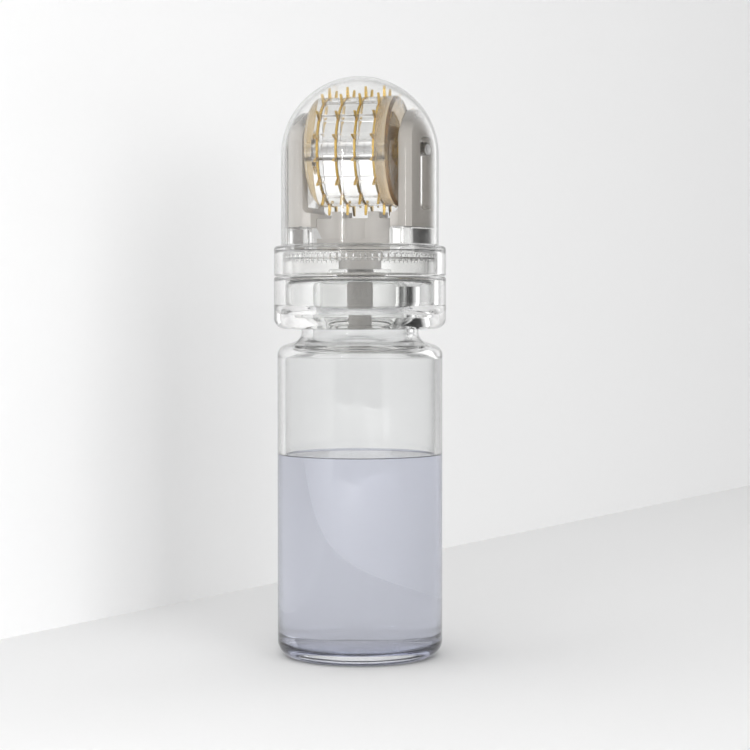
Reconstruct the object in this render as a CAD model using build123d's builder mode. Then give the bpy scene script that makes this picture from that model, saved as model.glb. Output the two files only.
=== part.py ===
from build123d import *
import os
from math import sqrt

# A derma roller on a small serum vial. The glass vial carries a clear snap-fit head, whose
# fork holds a roller of needle discs over a comb block that a wick keeps wet. A clear
# domed cap pulls off upwards. Origin: centre of the vial's foot. +Z is up, and the
# roller turns about X. All sizes are in millimetres.

os.makedirs("parts", exist_ok=True)

# ---- driving dimensions -------------------------------------------------------------

# glass vial
vial_height = 50.0
vial_radius = 11.0
vial_wall = 1.0
vial_floor = 1.4            # glass on the axis
push_up = 0.5               # hollow under the floor
foot_ring_width = 3.8       # from the vial's side to the inside of the ring it stands on
foot_ring_bevel = 2.0
heel_round = 2.2
shoulder_rise = 1.05
shoulder_round = 1.5
neck_radius = 7.8
neck_length = 4.0
neck_round = 1.3
bore_radius = 6.3
bead_radius = 9.85
bead_height = 3.7
bead_round = 0.9

# serum
serum_level = 26.4
meniscus_rise = 0.7
meniscus_width = 0.25

# snap collar
swivel_gap = 0.10           # running clearance between the vial's bead and the collar
seal_thickness = 0.30
seal_gap = 0.05
collar_wall = 1.5
collar_plate = 0.6
collar_step = 0.25          # height of the collar's shoulder over the plate's underside
collar_reach = 2.6          # how far the collar hangs below the bead
lip_catch = 1.1             # how far the lip reaches in under the bead
lip_drop = 0.7              # from the bead's underside to the lip's upper edge
lip_height = 0.4
lead_in_catch = 0.45        # the same at the collar's mouth
plug_gap = 0.15
plug_wall = 0.8
plug_depth = 4.85
boss_radius = 4.2
boss_height = 0.65

# wick and washer
wick_radius = 1.725
wick_tip_radius = 1.55
wick_tip_length = 0.95
wick_spindle_radius = 0.95
wick_depth = 5.2            # how far it hangs below the collar's plate
wick_gap = 0.05
washer_radius = 3.13
washer_thickness = 0.58

# fork shell
ring_height = 2.9
ring_wall = 1.0
deck_thickness = 0.75
rib_count = 72
rib_radius = 0.15
rib_length = 0.85
rib_gap = 0.10              # between the ribs and the cap's skirt
cap_gap = 0.15              # sliding clearance between the fork and the cap
arm_half_width = 5.4
arm_root_step = 1.2         # how far the arm's root and the bracket's foot reach inwards
pad_height = 3.25

# brackets inside the fork's arms
bracket_half_width = 4.9
bracket_cover = 0.46        # clear plastic outside the bracket's edges
bracket_proud = 0.10
bracket_rise = 3.4          # bracket's top above the axle
bracket_corner = 2.2
foot_height = 1.9
foot_fillet = 0.8
bracket_slant = 0.8         # rounding of the frame's outer top edge
window_half_width = 2.6
window_corner = 1.2
window_sill = 0.4           # frame left between the foot and the window
window_margin = 1.9         # frame left above the window

# comb block
comb_gap = 0.07             # between the comb block and the bracket's foot
comb_half_depth = 2.4
comb_height = 4.45
comb_waist = 4.6
plinth_height = 1.8
plinth_lip = 0.25
plinth_gap = 0.15
column_radius = 2.0
tooth_gap = 0.35            # between a tooth and the discs beside it
tooth_depth = 1.2
drum_gap = 0.7              # between the teeth and the spacers
socket_radius = 2.85
gallery_radius = 0.5
outlet_radius = 0.3
gallery_depth = 1.3         # gallery's middle under the comb block's top

# roller
needle_clearance = 0.25     # between the needles' sweep and the comb block
axle_radius = 0.8
axle_gap = 0.05
axle_seat = 1.35            # depth of the axle's hole in each arm
disc_pitch = 2.5
disc_thickness = 0.3
disc_radius = 7.3
needle_length = 1.35
needle_width = 0.62
needle_neck_width = 0.36
needle_count = 16
flange_width = 1.7
flange_chamfer = 0.35
hub_radius = 1.8
hub_length = 0.8
hub_gap = 0.15

# cap
cap_clearance = 0.15        # between the needles' sweep and the dome
cap_wall = 0.4
skirt_wall = 1.1
skirt_step = 0.95           # least step from the dome's wall out to the skirt
skirt_plate = 0.7
skirt_round = 0.5
dome_drop = 0.5             # dome's centre under the axle
seat_gap = 0.15

# ---- places worked out from them ----------------------------------------------------

# glass
bead_z = vial_height - bead_height
neck_z = bead_z - neck_length
shoulder_z = neck_z - shoulder_rise
inner_radius = vial_radius - vial_wall
foot_ring_inner = vial_radius - foot_ring_width
floor_z = push_up + vial_floor
heel_z = floor_z - push_up + 0.05
inner_heel_round = heel_round - 0.3
shoulder_slope = shoulder_rise / (vial_radius - neck_radius)
shoulder_depth = vial_wall * sqrt(1 + shoulder_slope**2)

# heights from the collar's plate up to the dome
plate_z = vial_height + seal_gap + seal_thickness
plate_top = plate_z + collar_plate
boss_top = plate_top + boss_height
collar_top = plate_z + collar_step
collar_bottom = bead_z - collar_reach
lip_top = bead_z - lip_drop
deck_z = plate_top + ring_height
pad_top = deck_z + pad_height
comb_top = deck_z + comb_height
gallery_z = comb_top - gallery_depth
needle_tip = disc_radius + needle_length
axle_z = comb_top + needle_clearance + needle_tip
dome_z = axle_z - dome_drop
bracket_top = axle_z + bracket_rise
cap_bottom = collar_top + seat_gap
skirt_ceiling = deck_z + seat_gap

# places along the roller
disc_places = [disc_pitch * (number - 1.5) for number in range(4)]
outer_disc_face = disc_places[-1] + disc_thickness / 2
flange_face = outer_disc_face + flange_width
arm_gap = flange_face + hub_length + hub_gap
pad_gap = arm_gap - arm_root_step
axle_reach = arm_gap + axle_seat
tooth_place = (disc_places[-2] + disc_places[-1]) / 2
tooth_width = disc_pitch - disc_thickness - 2 * tooth_gap
tooth_height = needle_clearance + needle_length - drum_gap
comb_half_length = pad_gap - comb_gap

# radii of the head, from the needles outwards and from the bead outwards
cap_bore = sqrt(outer_disc_face**2 + (needle_tip + dome_drop) ** 2) + cap_clearance
cap_radius = cap_bore + cap_wall
fork_radius = cap_bore - cap_gap
bracket_inner = arm_gap - bracket_proud
bracket_outer = sqrt(fork_radius**2 - bracket_half_width**2) - bracket_cover
collar_bore = bead_radius + swivel_gap
collar_radius = max(collar_bore + collar_wall, cap_radius + skirt_step)
lip_radius = bead_radius - lip_catch
lead_in_radius = bead_radius - lead_in_catch
plug_radius = bore_radius - plug_gap
skirt_bore = collar_radius - skirt_wall
ring_radius = skirt_bore - rib_gap - rib_radius
wick_hole = wick_radius + wick_gap
washer_seat = washer_radius + 0.07
spindle_bore = wick_spindle_radius + wick_gap


def inner_shoulder(radius):
    """Height of the glass's inner shoulder, a wall's thickness under the outer cone."""
    return shoulder_z + shoulder_slope * (vial_radius - radius) - shoulder_depth


def outline(corners):
    """Closed outline through (x, y, rounding) corners, filled as a face."""
    with BuildLine() as border:
        FilletPolyline(
            [(x, y) for x, y, rounding in corners],
            radius=[rounding for x, y, rounding in corners],
            close=True,
        )
    make_face(border.edges())


def bullet(radius, bottom):
    """Half outline of a round bar that ends in a dome, from the axis outwards."""
    with BuildLine() as border:
        Polyline((0, dome_z + radius), (0, bottom), (radius, bottom), (radius, dome_z))
        CenterArc((0, dome_z), radius, 0, 90)
    make_face(border.edges())


def finish(part, name):
    """Label a finished piece and write it."""
    part.label = name
    export_step(part, f"parts/{name}.step")


# ---- vial and serum -----------------------------------------------------------------

with BuildPart() as vial:
    with BuildSketch(Plane.XZ):
        outline([
            (0, push_up, 0),
            (foot_ring_inner - foot_ring_bevel, push_up, 3.0),
            (foot_ring_inner, 0, 0.4),
            (vial_radius, 0, heel_round),
            (vial_radius, shoulder_z, shoulder_round),
            (neck_radius, neck_z, neck_round),
            (neck_radius, bead_z, 0.4),
            (bead_radius, bead_z, bead_round),
            (bead_radius, vial_height, 0.7),
            (bore_radius, vial_height, 0.5),
            (bore_radius, inner_shoulder(bore_radius), neck_round + 0.5),
            (inner_radius, inner_shoulder(inner_radius), shoulder_round - 0.5),
            (inner_radius, heel_z, inner_heel_round),
            (0, floor_z, 0),
        ])
    revolve(axis=Axis.Z)
finish(vial.part, "vial")

with BuildPart() as serum:
    with BuildSketch(Plane.XZ):
        outline([
            (0, floor_z, 0),
            (inner_radius, heel_z, inner_heel_round),
            (inner_radius, serum_level + meniscus_rise, 0),
            (inner_radius - meniscus_width, serum_level, 0.9),
            (0, serum_level, 0),
        ])
    revolve(axis=Axis.Z)
finish(serum.part, "serum")

# ---- neck seal, snap collar, washer and wick ----------------------------------------

with BuildPart() as neck_seal:
    with BuildSketch(Plane.XY.offset(plate_z - seal_thickness)):
        Circle(bead_radius - 0.5)
        Circle(plug_radius + 0.1, mode=Mode.SUBTRACT)
    extrude(amount=seal_thickness)
finish(neck_seal.part, "neck_seal")

with BuildPart() as snap_collar:
    with BuildSketch(Plane.XZ):
        outline([
            (wick_hole, plate_top, 0),
            (washer_seat, plate_top, 0),
            (washer_seat, plate_z, 0.1),
            (plug_radius - plug_wall, plate_z, 0.4),
            (plug_radius - plug_wall, plate_z - plug_depth, 0.1),
            (plug_radius - 0.3, plate_z - plug_depth, 0.1),
            (plug_radius, plate_z - plug_depth + 0.5, 0.3),
            (plug_radius, plate_z, 0),
            (collar_bore, plate_z, 0.3),
            (collar_bore, lip_top + collar_bore - lip_radius, 0.3),
            (lip_radius, lip_top, 0.15),
            (lip_radius, lip_top - lip_height, 0.3),
            (lead_in_radius, collar_bottom + 0.7, 0.5),
            (lead_in_radius, collar_bottom, 0.3),
            (collar_radius, collar_bottom, collar_wall - 0.1),
            (collar_radius, collar_top, 0.3),
            (ring_radius, collar_top, 0),
            (ring_radius, plate_top, 0.1),
            (boss_radius, plate_top, 0.2),
            (boss_radius, boss_top, 0.3),
            (wick_hole, boss_top, 0),
        ])
    revolve(axis=Axis.Z)
finish(snap_collar.part, "snap_collar")

with BuildPart() as wick_washer:
    with BuildSketch(Plane.XY.offset(plate_top - washer_thickness)):
        Circle(washer_radius)
        Circle(wick_hole, mode=Mode.SUBTRACT)
    extrude(amount=washer_thickness)
    chamfer(wick_washer.faces().sort_by(Axis.Z)[0].outer_wire().edges(), 0.1)
finish(wick_washer.part, "wick_washer")

with BuildPart() as feed_wick:
    with BuildSketch(Plane.XZ):
        outline([
            (0, plate_z - wick_depth, 0),
            (wick_tip_radius, plate_z - wick_depth, 0.3),
            (wick_tip_radius, plate_z - wick_depth + wick_tip_length, 0),
            (wick_radius, plate_z - wick_depth + wick_tip_length + 0.15, 0),
            (wick_radius, boss_top, 0),
            (wick_spindle_radius, boss_top, 0),
            (wick_spindle_radius, gallery_z - 0.1, 0.2),
            (0, gallery_z - 0.1, 0),
        ])
    revolve(axis=Axis.Z)
finish(feed_wick.part, "feed_wick")

# ---- brackets and fork shell --------------------------------------------------------

# One bracket is a flat frame that stands in the arm, with a foot turned in at its base.
with BuildPart() as right_bracket:
    with BuildSketch(Plane.XZ):
        outline([
            (pad_gap, pad_top, 0),
            (bracket_outer, pad_top, 0),
            (bracket_outer, bracket_top, bracket_slant),
            (bracket_inner, bracket_top, 0.2),
            (bracket_inner, pad_top + foot_height, foot_fillet),
            (pad_gap, pad_top + foot_height, 0.15),
        ])
    extrude(amount=bracket_half_width, both=True)
    with BuildSketch(Plane.YZ):
        outline([
            (-bracket_half_width, pad_top, 0),
            (bracket_half_width, pad_top, 0),
            (bracket_half_width, bracket_top, bracket_corner),
            (-bracket_half_width, bracket_top, bracket_corner),
        ])
    extrude(amount=fork_radius, mode=Mode.INTERSECT)
    with BuildSketch(Plane.YZ.offset(bracket_inner)):
        window_bottom = pad_top + foot_height + window_sill
        window_height = bracket_top - window_margin - window_bottom
        with Locations((0, window_bottom + window_height / 2)):
            RectangleRounded(2 * window_half_width, window_height, window_corner)
    extrude(amount=bracket_outer - bracket_inner, mode=Mode.SUBTRACT)

left_bracket = mirror(right_bracket.part, about=Plane.YZ)
finish(right_bracket.part, "bracket_right")
finish(left_bracket, "bracket_left")

# Both arms with their roots, trimmed to the inside of the cap and hollowed for the brackets.
with BuildPart() as arms:
    with BuildSketch(Plane.YZ.offset(arm_gap)):
        with Locations((0, axle_z)):
            Circle(arm_half_width)
        with Locations((0, deck_z)):
            Rectangle(
                2 * arm_half_width, axle_z - deck_z, align=(Align.CENTER, Align.MIN)
            )
    extrude(amount=fork_radius - arm_gap)
    with BuildSketch(Plane.XY.offset(deck_z)):
        with Locations((pad_gap, 0)):
            root_length = fork_radius - pad_gap
            Rectangle(root_length, 2 * arm_half_width, align=(Align.MIN, Align.CENTER))
    extrude(amount=pad_height)
    mirror(about=Plane.YZ)
    with BuildSketch(Plane.XZ):
        bullet(fork_radius, deck_z)
    revolve(axis=Axis.Z, mode=Mode.INTERSECT)
    add([right_bracket.part, left_bracket], mode=Mode.SUBTRACT)
    with BuildSketch(Plane.YZ):
        with Locations((0, axle_z)):
            Circle(axle_radius + axle_gap)
    extrude(amount=axle_reach + axle_gap, both=True, mode=Mode.SUBTRACT)

with BuildPart() as fork_shell:
    with BuildSketch(Plane.XZ):
        outline([
            (ring_radius - ring_wall, plate_top, 0),
            (ring_radius, plate_top, 0),
            (ring_radius, deck_z, 0.1),
            (socket_radius + wick_gap, deck_z, 0),
            (socket_radius + wick_gap, deck_z - deck_thickness, 0),
            (ring_radius - ring_wall, deck_z - deck_thickness, 0.3),
        ])
    revolve(axis=Axis.Z)
    with BuildSketch(Plane.XY.offset(deck_z - 0.1 - rib_length)):
        with PolarLocations(ring_radius, rib_count):
            Circle(rib_radius)
    extrude(amount=rib_length)
    add(arms.part)
finish(fork_shell.part, "fork_shell")

# ---- comb block ---------------------------------------------------------------------

with BuildPart() as comb_block:
    with BuildSketch(Plane.XZ):
        outline([
            (-comb_waist, deck_z, 0),
            (comb_waist, deck_z, 0),
            (comb_waist, deck_z + plinth_height, 0),
            (comb_half_length, pad_top, 0),
            (comb_half_length, comb_top, 0),
            (-comb_half_length, comb_top, 0),
            (-comb_half_length, pad_top, 0),
            (-comb_waist, deck_z + plinth_height, 0),
        ])
    extrude(amount=comb_half_depth, both=True)
    with BuildSketch(Plane.XY.offset(deck_z)):
        plinth_length = 2 * (pad_gap - plinth_gap)
        Rectangle(plinth_length, 2 * (comb_half_depth + plinth_lip))
    extrude(amount=plinth_height)
    with BuildSketch(Plane.XY.offset(deck_z)):
        column_offset = column_radius - comb_half_depth - 2 * plinth_lip
        with Locations((0, column_offset), (0, -column_offset)):
            Circle(column_radius)
    extrude(amount=comb_height)
    with BuildSketch(Plane.XY.offset(comb_top)):
        tooth_y = comb_half_depth - tooth_depth / 2
        with GridLocations(2 * tooth_place, 2 * tooth_y, 2, 2):
            Rectangle(tooth_width, tooth_depth)
    extrude(amount=tooth_height)
    with BuildSketch(Plane.XY.offset(boss_top)):
        Circle(socket_radius)
    extrude(amount=deck_z - boss_top)
    with BuildSketch(Plane.XY.offset(boss_top)):
        Circle(spindle_bore)
    extrude(amount=gallery_z - boss_top, mode=Mode.SUBTRACT)
    with BuildSketch(Plane.YZ):
        with Locations((0, gallery_z)):
            Circle(gallery_radius)
    extrude(amount=disc_places[-1] + gallery_radius, both=True, mode=Mode.SUBTRACT)
    with BuildSketch(Plane.XY.offset(gallery_z)):
        with Locations([(place, 0) for place in disc_places]):
            Circle(outlet_radius)
    extrude(amount=comb_top - gallery_z, mode=Mode.SUBTRACT)
finish(comb_block.part, "comb_block")

# ---- roller -------------------------------------------------------------------------

with BuildPart() as axle:
    with BuildSketch(Plane.YZ):
        with Locations((0, axle_z)):
            Circle(axle_radius)
    extrude(amount=axle_reach, both=True)
    chamfer(axle.edges().filter_by(GeomType.CIRCLE), 0.2)
finish(axle.part, "axle")

for number, place in enumerate(disc_places, 1):
    with BuildPart() as needle_disc:
        with BuildSketch(Plane.YZ.offset(place - disc_thickness / 2)):
            with Locations((0, axle_z)):
                Circle(disc_radius)
                half_pitch = 180 / needle_count
                with PolarLocations(0, needle_count, start_angle=half_pitch):
                    needle = [
                        (disc_radius - 0.2, -needle_width / 2),
                        (needle_tip - 0.45, -needle_neck_width / 2),
                        (needle_tip, -0.05),
                        (needle_tip, 0.05),
                        (needle_tip - 0.45, needle_neck_width / 2),
                        (disc_radius - 0.2, needle_width / 2),
                    ]
                    Polygon(*needle, align=None)
                Circle(axle_radius, mode=Mode.SUBTRACT)
        extrude(amount=disc_thickness)
    finish(needle_disc.part, f"needle_disc_{number}")

for number, place in enumerate(disc_places[:-1], 1):
    with BuildPart() as spacer:
        with BuildSketch(Plane.YZ.offset(place + disc_thickness / 2)):
            with Locations((0, axle_z)):
                Circle(disc_radius)
                Circle(axle_radius, mode=Mode.SUBTRACT)
        extrude(amount=disc_pitch - disc_thickness)
    finish(spacer.part, f"spacer_{number}")

with BuildPart() as right_flange:
    with BuildSketch(Plane.YZ.offset(outer_disc_face)):
        with Locations((0, axle_z)):
            Circle(disc_radius)
    extrude(amount=flange_width)
    chamfer(right_flange.faces().sort_by(Axis.X)[-1].edges(), flange_chamfer)
    with BuildSketch(Plane.YZ.offset(flange_face)):
        with Locations((0, axle_z)):
            Circle(hub_radius)
    extrude(amount=hub_length)
    with BuildSketch(Plane.YZ.offset(outer_disc_face)):
        with Locations((0, axle_z)):
            Circle(axle_radius)
    extrude(amount=arm_gap, mode=Mode.SUBTRACT)

left_flange = mirror(right_flange.part, about=Plane.YZ)
finish(right_flange.part, "end_flange_right")
finish(left_flange, "end_flange_left")

# ---- cap ----------------------------------------------------------------------------

with BuildPart() as cap:
    with BuildSketch(Plane.XZ):
        bullet(cap_radius, cap_bottom)
    revolve(axis=Axis.Z)
    with BuildSketch(Plane.XY.offset(cap_bottom)):
        Circle(collar_radius)
    extrude(amount=skirt_ceiling + skirt_plate - cap_bottom)
    skirt_edges = cap.edges().filter_by(GeomType.CIRCLE).filter_by(
        lambda edge: abs(edge.center().Z - skirt_ceiling - skirt_plate) < 0.01
    )
    fillet(skirt_edges.sort_by(SortBy.RADIUS)[-1], skirt_round)
    with BuildSketch(Plane.XZ):
        bullet(cap_bore, cap_bottom)
    revolve(axis=Axis.Z, mode=Mode.SUBTRACT)
    with BuildSketch(Plane.XY.offset(cap_bottom)):
        Circle(skirt_bore)
    extrude(amount=skirt_ceiling - cap_bottom, mode=Mode.SUBTRACT)
finish(cap.part, "cap")
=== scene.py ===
"""A derma roller on its serum vial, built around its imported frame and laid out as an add-on."""

from math import cos, pi, radians, sin, sqrt

import bmesh
import bpy
import numpy as np
from bpy.props import FloatProperty, FloatVectorProperty, IntProperty, PointerProperty
from bpy.types import Operator, Panel, PropertyGroup
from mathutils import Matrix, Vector


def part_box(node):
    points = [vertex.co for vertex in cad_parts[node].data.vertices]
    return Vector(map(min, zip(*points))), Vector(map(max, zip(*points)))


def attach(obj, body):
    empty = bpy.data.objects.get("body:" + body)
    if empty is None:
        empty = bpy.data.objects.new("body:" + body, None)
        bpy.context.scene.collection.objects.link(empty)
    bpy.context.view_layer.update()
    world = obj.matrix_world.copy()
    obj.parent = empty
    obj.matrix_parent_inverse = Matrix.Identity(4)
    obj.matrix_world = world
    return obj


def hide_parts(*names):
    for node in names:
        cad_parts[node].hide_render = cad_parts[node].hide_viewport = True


bl_info = {
    "name": "Derma roller",
    "version": (1, 0, 0),
    "blender": (4, 5, 0),
    "location": "View3D > Sidebar > Roller",
    "description": "Makes a derma roller head, its serum vial and a pale studio",
    "category": "Add Mesh",
}

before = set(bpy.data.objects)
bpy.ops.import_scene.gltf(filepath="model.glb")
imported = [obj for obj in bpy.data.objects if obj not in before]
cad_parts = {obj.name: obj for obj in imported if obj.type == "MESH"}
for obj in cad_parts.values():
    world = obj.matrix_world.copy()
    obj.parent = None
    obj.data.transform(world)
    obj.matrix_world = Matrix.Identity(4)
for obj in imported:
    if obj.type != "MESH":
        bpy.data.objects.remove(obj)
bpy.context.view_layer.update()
MM = 0.001
SAME_POINT = 0.002 * MM
ON_AXIS = 1e-6 * MM


def top(node):
    """Height of a node's highest point."""
    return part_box(node)[1].z


def bottom(node):
    """Height of a node's lowest point."""
    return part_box(node)[0].z


def reach(node):
    """How far a node reaches from the middle plane along X."""
    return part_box(node)[1].x


def axle_height():
    """Height of the roller's axis."""
    return (top("axle") + bottom("axle")) / 2


def length(name, description, millimetres):
    """A size in metres, given here in millimetres."""
    return FloatProperty(
        name=name, description=description, default=millimetres * MM, unit="LENGTH", precision=5
    )


def colour(name, description, value):
    """A plain surface colour."""
    return FloatVectorProperty(
        name=name, description=description, default=value, subtype="COLOR", min=0.0, max=1.0
    )


# ---- sizes and colours that a user would change ----------------------------------------


class VialSizes(PropertyGroup):
    """The glass and what is in it."""

    wall: length("Wall", "Thickness of the glass wall", 1.0)
    floor: length("Floor", "Thickness of the glass on the axis", 1.4)
    push_up: length("Push-up", "Hollow under the floor", 0.5)
    push_up_slope: length("Push-up slope", "Width of the slope round the hollow", 2.0)
    foot_ring: length("Foot ring", "From the side to the inside of the ring it stands on", 3.8)
    heel: length("Heel", "Rounding between the side and the floor", 2.2)
    inner_heel: length("Inner heel", "Rounding between the inside wall and the floor", 1.9)
    floor_fall: length("Floor fall", "How far the inside floor falls from the axis to the heel", 0.45)
    shoulder: length("Shoulder", "Rounding between the side and the shoulder", 1.5)
    shoulder_rise: length("Shoulder rise", "Height of the sloping shoulder", 1.05)
    neck: length("Neck", "Radius of the neck", 7.8)
    neck_length: length("Neck length", "From the shoulder to the bead", 4.0)
    neck_round: length("Neck round", "Hollow rounding at the foot of the neck", 1.3)
    bore: length("Bore", "Radius of the mouth", 6.3)
    bead: length("Bead", "Radius of the bead", 9.85)
    bead_height: length("Bead height", "Height of the bead", 3.7)
    bead_round: length("Bead round", "Rounding under the bead", 0.9)
    overlap: length("Overlap", "How far the liquid's skin lies in the glass", 0.02)
    meniscus: length("Meniscus", "Width of the liquid's raised edge", 0.14)
    meniscus_rise: length("Meniscus rise", "Height of the liquid's raised edge", 0.15)
    serum_tint: colour("Serum", "What the liquid lets through", (0.76, 0.775, 0.875))


class HeadSizes(PropertyGroup):
    """The parts between the vial and the roller."""

    film: length("Film", "Air left between pieces that touch", 0.012)
    collar_wall: length("Collar wall", "Wall of the snap collar", 1.5)
    collar_step: length("Collar step", "Collar's shoulder over the plate's underside", 0.25)
    plate: length("Plate", "Thickness of the collar's plate", 0.6)
    plug: length("Plug", "Radius of the plug in the neck", 6.15)
    plug_wall: length("Plug wall", "Wall of the plug", 0.8)
    plug_depth: length("Plug depth", "How far the plug hangs into the neck", 4.85)
    lip: length("Lip", "Radius inside the snap lip", 8.75)
    lip_drop: length("Lip drop", "From the bead's underside to the lip", 0.7)
    lip_height: length("Lip height", "Height of the snap lip", 0.4)
    lead_in: length("Lead-in", "Radius of the collar's mouth", 9.4)
    boss: length("Boss", "Radius of the boss round the wick", 4.2)
    wick: length("Wick", "Radius of the wick", 1.725)
    wick_tip: length("Wick tip", "Radius of the wick's lower end", 1.55)
    wick_tip_length: length("Wick tip length", "Length of the wick's lower end", 0.95)
    spindle: length("Spindle", "Radius of the wick in the comb block", 0.95)
    washer: length("Washer", "Radius of the washer round the wick", 3.13)
    deck: length("Deck", "Thickness of the fork's deck", 0.75)
    ring_wall: length("Ring wall", "Wall of the fork's base ring", 1.0)
    ring: length("Ring", "Radius of the fork's base ring between its ribs", 10.1)
    socket: length("Socket", "Radius of the hole for the comb block", 2.9)
    arm_width: length("Arm width", "Half the width of an arm", 5.4)
    arm_gap: length("Arm gap", "From the middle plane to an arm's inner face", 6.55)
    arm_step: length("Arm step", "How far an arm's root reaches inwards", 1.2)
    arm_edge: length("Arm edge", "Rounding of an arm's edges", 0.35)
    cap_gap: length("Cap gap", "Air between the fork and the cap", 0.15)
    bevel: length("Bevel", "Rounding of the moulded edges", 0.12)
    ribs: IntProperty(name="Ribs", description="Grip ribs on the base ring", default=72)
    rib_height: length("Rib height", "How far a rib stands out", 0.15)
    rib_start: length("Rib start", "From the base ring's foot to its ribs", 1.75)
    plastic: colour("Plastic", "Colour of the moulded inner parts", (0.70, 0.665, 0.625))
    # The comb block is the brackets' plastic made darker by this share: painted shade.
    comb_painted_shade: FloatProperty(
        name="Comb tone", description="How light the comb block is beside the brackets", default=0.74
    )
    felt: colour("Wick colour", "Colour of the porous wick", (0.70, 0.665, 0.63))


class RollerSizes(PropertyGroup):
    """The roller of needle discs."""

    axle: length("Axle", "Radius of the axle", 0.8)
    disc: length("Disc", "Radius of a disc between its needles", 7.3)
    needles: IntProperty(name="Needles", description="Needles round each disc", default=16)
    needle: length("Needle", "How far a needle stands out of its disc", 1.35)
    needle_width: length("Needle width", "Width of a needle at its root", 0.62)
    needle_neck: length("Needle neck", "Width of a needle where its point begins", 0.36)
    needle_point: length("Needle point", "Length of a needle's point", 0.45)
    needle_end: length("Needle end", "Width of a needle's very end", 0.06)
    etched_edge: length("Etched edge", "Rounding of a disc's etched edges", 0.03)
    flange_width: length("Flange width", "Width of an end flange without its hub", 1.7)
    flange_edge: length("Flange edge", "Slope round an end flange", 0.35)
    hub: length("Hub", "Radius of a flange's hub", 1.8)
    groove: length("Groove", "Depth of the grooves along the drum", 0.22)
    drum_edge: length("Drum edge", "Rounding of the drum's edges", 0.08)
    bite: length("Bite", "How deep an end flange grips the gold, so that no air shows between", 0.03)
    gold: colour("Gold", "Colour of the plated discs", (0.58, 0.375, 0.06))


class CapSizes(PropertyGroup):
    """The clear pull-off cap."""

    wall: length("Wall", "Wall of the dome", 0.4)
    skirt_wall: length("Skirt wall", "Wall of the skirt", 1.1)
    skirt_plate: length("Skirt plate", "Thickness of the step over the skirt", 0.7)
    skirt_round: length("Skirt round", "Rounding of the skirt's upper edge", 0.5)
    skirt_rise: length("Skirt rise", "From the skirt's mouth up to its ceiling", 3.25)
    dome_step: length("Dome step", "From the skirt's side in to the dome's", 0.954)


class StudioSettings(PropertyGroup):
    """The camera's stand, the pale room and its sky."""

    azimuth: FloatProperty(
        name="Azimuth", description="How far the camera stands to the right",
        default=radians(15.5), subtype="ANGLE",
    )
    distance: length("Distance", "From the vial's axis to the camera", 290)
    eye: length("Eye", "Height of the camera", 47)
    lens: FloatProperty(name="Lens", description="Focal length in millimetres", default=104.4)
    pan: FloatProperty(
        name="Pan", description="Camera's turn to the right", default=radians(0.395), subtype="ANGLE"
    )
    tilt: FloatProperty(
        name="Tilt", description="Camera's turn downwards", default=radians(1.87), subtype="ANGLE"
    )
    wall_turn: FloatProperty(
        name="Wall turn", description="Angle between the wall and the camera's own plane",
        default=radians(59.6), subtype="ANGLE",
    )
    wall_distance: length("Wall distance", "From the vial's axis to the wall", 50.5)
    paper: colour("Paper", "Colour of the wall and the floor", (0.90, 0.90, 0.90))
    # The wall and the floor are one paper: the wall's copy is made lighter as painted light and the
    # floor's darker as painted shade.
    wall_painted_light: FloatProperty(
        name="Wall tone", description="How light the wall is beside the paper", default=1.035
    )
    floor_painted_shade: FloatProperty(
        name="Floor tone", description="How light the floor is beside the paper", default=0.955
    )
    paper_reach: length("Paper reach", "How far the paper goes on each way along the wall", 3000)
    paper_height: length("Paper height", "Height of the wall", 1600)
    aim_height: length("Aim height", "Height that the lamps are aimed at", 40)
    sky: FloatProperty(name="Sky", description="Strength of the sky's light", default=1.50)
    zenith: FloatProperty(name="Zenith", description="Share of the sky's light straight up", default=0.55)
    backdrop: FloatProperty(
        name="Backdrop", description="How light the camera sees the sky past the paper", default=0.59
    )


# Each lamp's name, its place in metres towards the camera, to the right and up, how far to the right
# it aims, its size, its power in watts, and whether clear pieces mirror and show it.
LAMPS = (
    ("key", (0.6031, 0.2424, 0.108), 0.0, (0.05, 0.05), 0.20, False),
    ("fill", (0.62, 0.25, 0.17), 0.0, (0.5, 0.35), 1.5, False),
    ("near", (0.27, -0.06, 0.10), -0.05, (0.16, 0.2), 0.21, False),
    ("strip", (0.4509, -0.2160, 0.093), 0.0, (0.014, 0.055), 0.026, True),
)
# How light the sky is by how far a direction lies to the side: 0 is straight ahead or straight
# behind, and 1 is straight to either side.
SKY_STOPS = (
    (0.0, 0.55), (0.22, 0.70), (0.32, 1.0), (0.62, 1.0), (0.74, 0.40), (0.86, 0.03), (1.0, 0.02)
)


# ---- surfaces ---------------------------------------------------------------------------


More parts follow.
